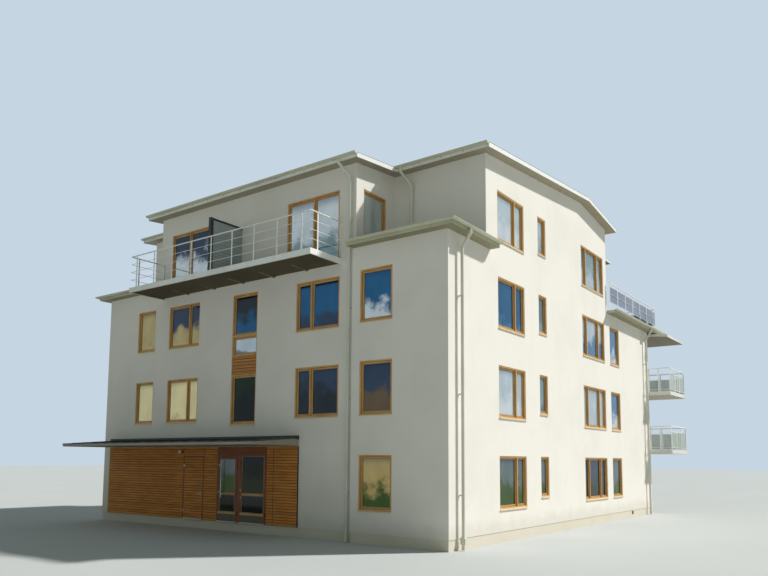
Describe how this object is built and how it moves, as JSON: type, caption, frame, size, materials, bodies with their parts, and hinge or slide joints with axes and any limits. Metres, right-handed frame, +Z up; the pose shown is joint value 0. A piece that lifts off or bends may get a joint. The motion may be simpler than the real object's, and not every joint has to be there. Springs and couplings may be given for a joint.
{
  "type": "apartment block",
  "caption": "Rendered apartment block with a set-back top storey, low-pitched roof, timber windows, clad entrance under a canopy, balconies and a roof terrace.",
  "frame": {"origin": "middle of the main walls' rectangle, at the lowest ground point, on the face that rests on the ground", "axes": "+Z up; the entrance front faces -Y, the long side with the corner downpipe faces +X"},
  "size_m": [17.69, 23.123, 12.3928],
  "materials": {
    "render": "fine floated mineral render, matt",
    "concrete": "smooth grey render, matt",
    "slab": "cast concrete, matt",
    "timber": "oiled pine, satin",
    "cladding": "oiled boards, satin",
    "door_timber": "dark oiled hardwood, satin",
    "glass": "clear double glazing",
    "flashing": "coated sheet, satin",
    "white_metal": "white powder coat, satin",
    "canopy": "coated sheet over timber, matt",
    "screen": "grey coated sheet, matt",
    "roofing": "coated standing-seam sheet, matt",
    "steel": "brushed"
  },
  "bodies": {
    "house": {"plinth": "concrete", "ground_floor": "slab", "second_floor": "slab", "third_floor": "slab", "fourth_floor": "slab", "front_wall": "render", "entrance_walls": "render", "door_lintel": "render", "front_corner_wall": "render", "right_wall": "render", "left_wall": "render", "rear_wall": "render", "upper_front_wall": "render", "notch_walls": "render", "set_back_walls": "render", "upper_right_wall": "render", "upper_left_wall": "render", "upper_rear_wall": "render", "front_window_frames": "timber", "right_window_frames": "timber", "left_window_frames": "timber", "rear_window_frames": "timber", "front_glass": "glass", "right_glass": "glass", "left_glass": "glass", "rear_glass": "glass", "window_sills": "flashing", "stair_panel": "timber", "entrance_cladding": "cladding", "cladding_header": "cladding", "door_frames": "door_timber", "entrance_canopy": "canopy", "balcony_slab": "white_metal", "balcony_railing": "white_metal", "privacy_screen": "screen", "upper_roof": "roofing", "upper_gutters": "white_metal", "lower_roofs": "roofing", "lower_gutters": "white_metal", "downpipes": "white_metal", "terrace_downpipes": "white_metal", "terrace_railing": "white_metal", "rear_balconies": "white_metal", "rear_railings": "white_metal", "rear_balcony_roof": "white_metal"},
    "left_door": {"entrance_leaf_left": "door_timber", "entrance_glass_left": "glass", "door_handles_left": "steel"},
    "right_door": {"entrance_leaf_right": "door_timber", "entrance_glass_right": "glass", "door_handles_right": "steel"},
    "side_door": {"service_door": "cladding", "service_handle": "steel"}
  },
  "joints": [
    {"name": "left_door_hinge", "type": "hinge", "parent": "house", "child": "left_door", "pos_m": [-0.2525, -8.954, 1.3], "axis": [0, 0, 1], "range_deg": [0, 95]},
    {"name": "right_door_hinge", "type": "hinge", "parent": "house", "child": "right_door", "pos_m": [1.044, -8.954, 1.3], "axis": [0, 0, 1], "range_deg": [0, 95]},
    {"name": "side_door_hinge", "type": "hinge", "parent": "house", "child": "side_door", "pos_m": [-2.949, -8.954, 1.3], "axis": [0, 0, -1], "range_deg": [0, 95]}
  ]
}
